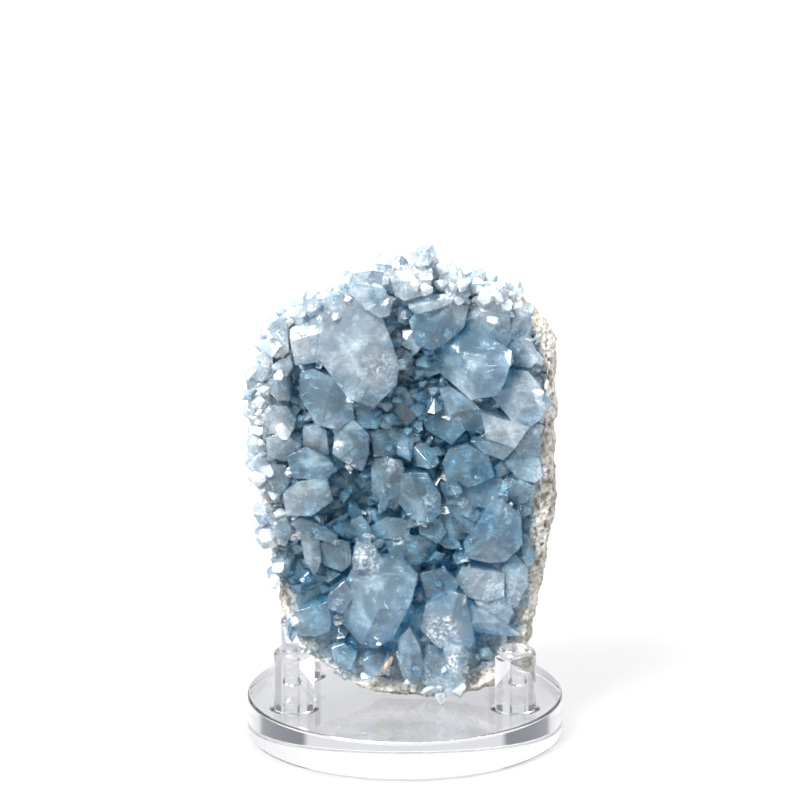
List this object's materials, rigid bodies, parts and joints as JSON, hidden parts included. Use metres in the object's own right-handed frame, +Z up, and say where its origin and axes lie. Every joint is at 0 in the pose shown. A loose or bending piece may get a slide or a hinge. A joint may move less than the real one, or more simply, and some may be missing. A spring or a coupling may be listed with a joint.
{
  "type": "celestite geode on a peg stand",
  "caption": "Half of a crystal-lined rock geode held upright on a round clear stand with short pegs.",
  "frame": {"origin": "centre of the underside of the stand's disc, where it rests on a surface", "axes": "+Z up, the crystal face looks along -Y, +X to the viewer's right"},
  "size_m": [0.1004, 0.1, 0.161],
  "materials": {
    "acrylic": "polished clear",
    "rock": "rough grainy",
    "celestite": "glassy translucent"
  },
  "bodies": {
    "root": {"base_disc": "acrylic", "peg_front_left": "acrylic", "peg_front_right": "acrylic", "peg_back_left": "acrylic", "peg_back_right": "acrylic", "rock_matrix": "rock", "crystal_crust": "celestite"}
  },
  "joints": []
}
